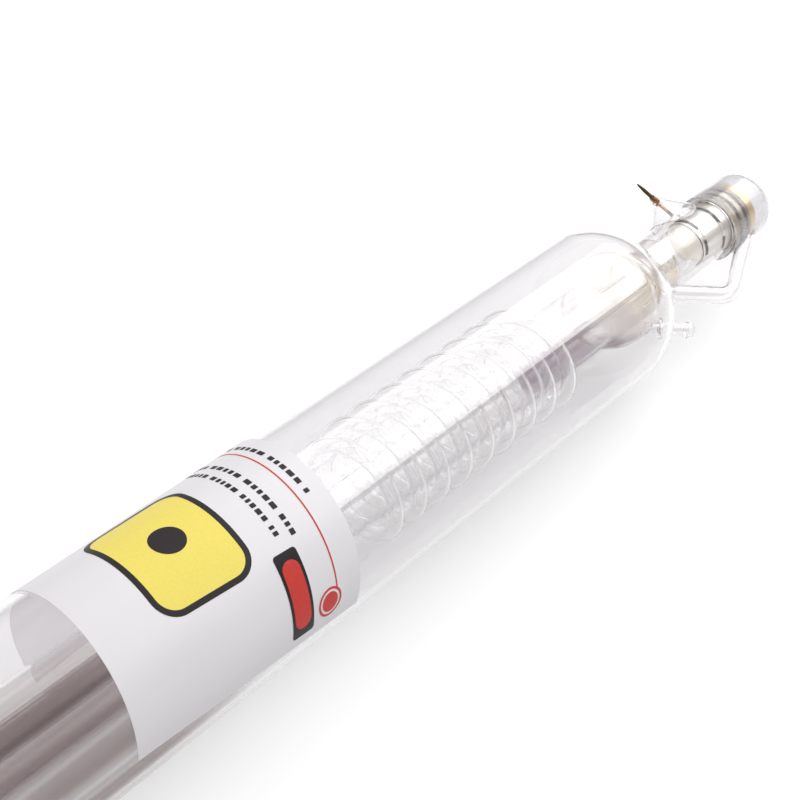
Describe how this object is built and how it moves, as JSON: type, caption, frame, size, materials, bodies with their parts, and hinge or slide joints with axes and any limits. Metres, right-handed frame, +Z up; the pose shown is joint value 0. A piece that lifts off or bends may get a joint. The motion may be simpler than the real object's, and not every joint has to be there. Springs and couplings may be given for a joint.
{
  "type": "co2 laser tube",
  "caption": "Sealed glass gas-laser tube with a water jacket, a gas return coil, electrode pins, hose nipples, a cooled rear mirror and an output window.",
  "frame": {"origin": "middle of the tube's length, on the surface that the tube lies on", "axes": "+X along the tube's axis toward the rear mirror, +Z up; the beam leaves along -X"},
  "size_m": [1.0498, 0.0804, 0.0802],
  "materials": {
    "envelope_glass": "clear borosilicate glass",
    "inner_glass": "clear borosilicate glass",
    "cup_glass": "slightly cloudy borosilicate glass",
    "nickel": "rolled nickel sheet",
    "pin_metal": "drawn tungsten wire",
    "brass_seat": "turned brass",
    "gold_mirror": "polished gold coating",
    "holder_metal": "turned aluminium",
    "window_crystal": "polished zinc selenide",
    "label_film": "printed white film"
  },
  "bodies": {
    "root": {"outer_envelope": "envelope_glass", "rear_neck": "envelope_glass", "front_neck": "envelope_glass", "water_jacket": "inner_glass", "discharge_tube": "inner_glass", "gas_return_coil": "inner_glass", "anode_sleeve": "nickel", "anode_pin": "pin_metal", "anode_pin_seal": "envelope_glass", "cathode_sleeve": "nickel", "cathode_pin": "pin_metal", "cathode_pin_seal": "envelope_glass", "rear_mirror_seat": "brass_seat", "rear_mirror": "gold_mirror", "mirror_cooling_cup": "cup_glass", "bridge_pipe": "envelope_glass", "rear_water_nipple": "envelope_glass", "front_water_nipple": "envelope_glass", "exhaust_stem": "envelope_glass", "output_holder": "holder_metal", "output_window": "window_crystal", "output_retainer": "holder_metal", "label_wrap": "label_film"}
  },
  "joints": []
}
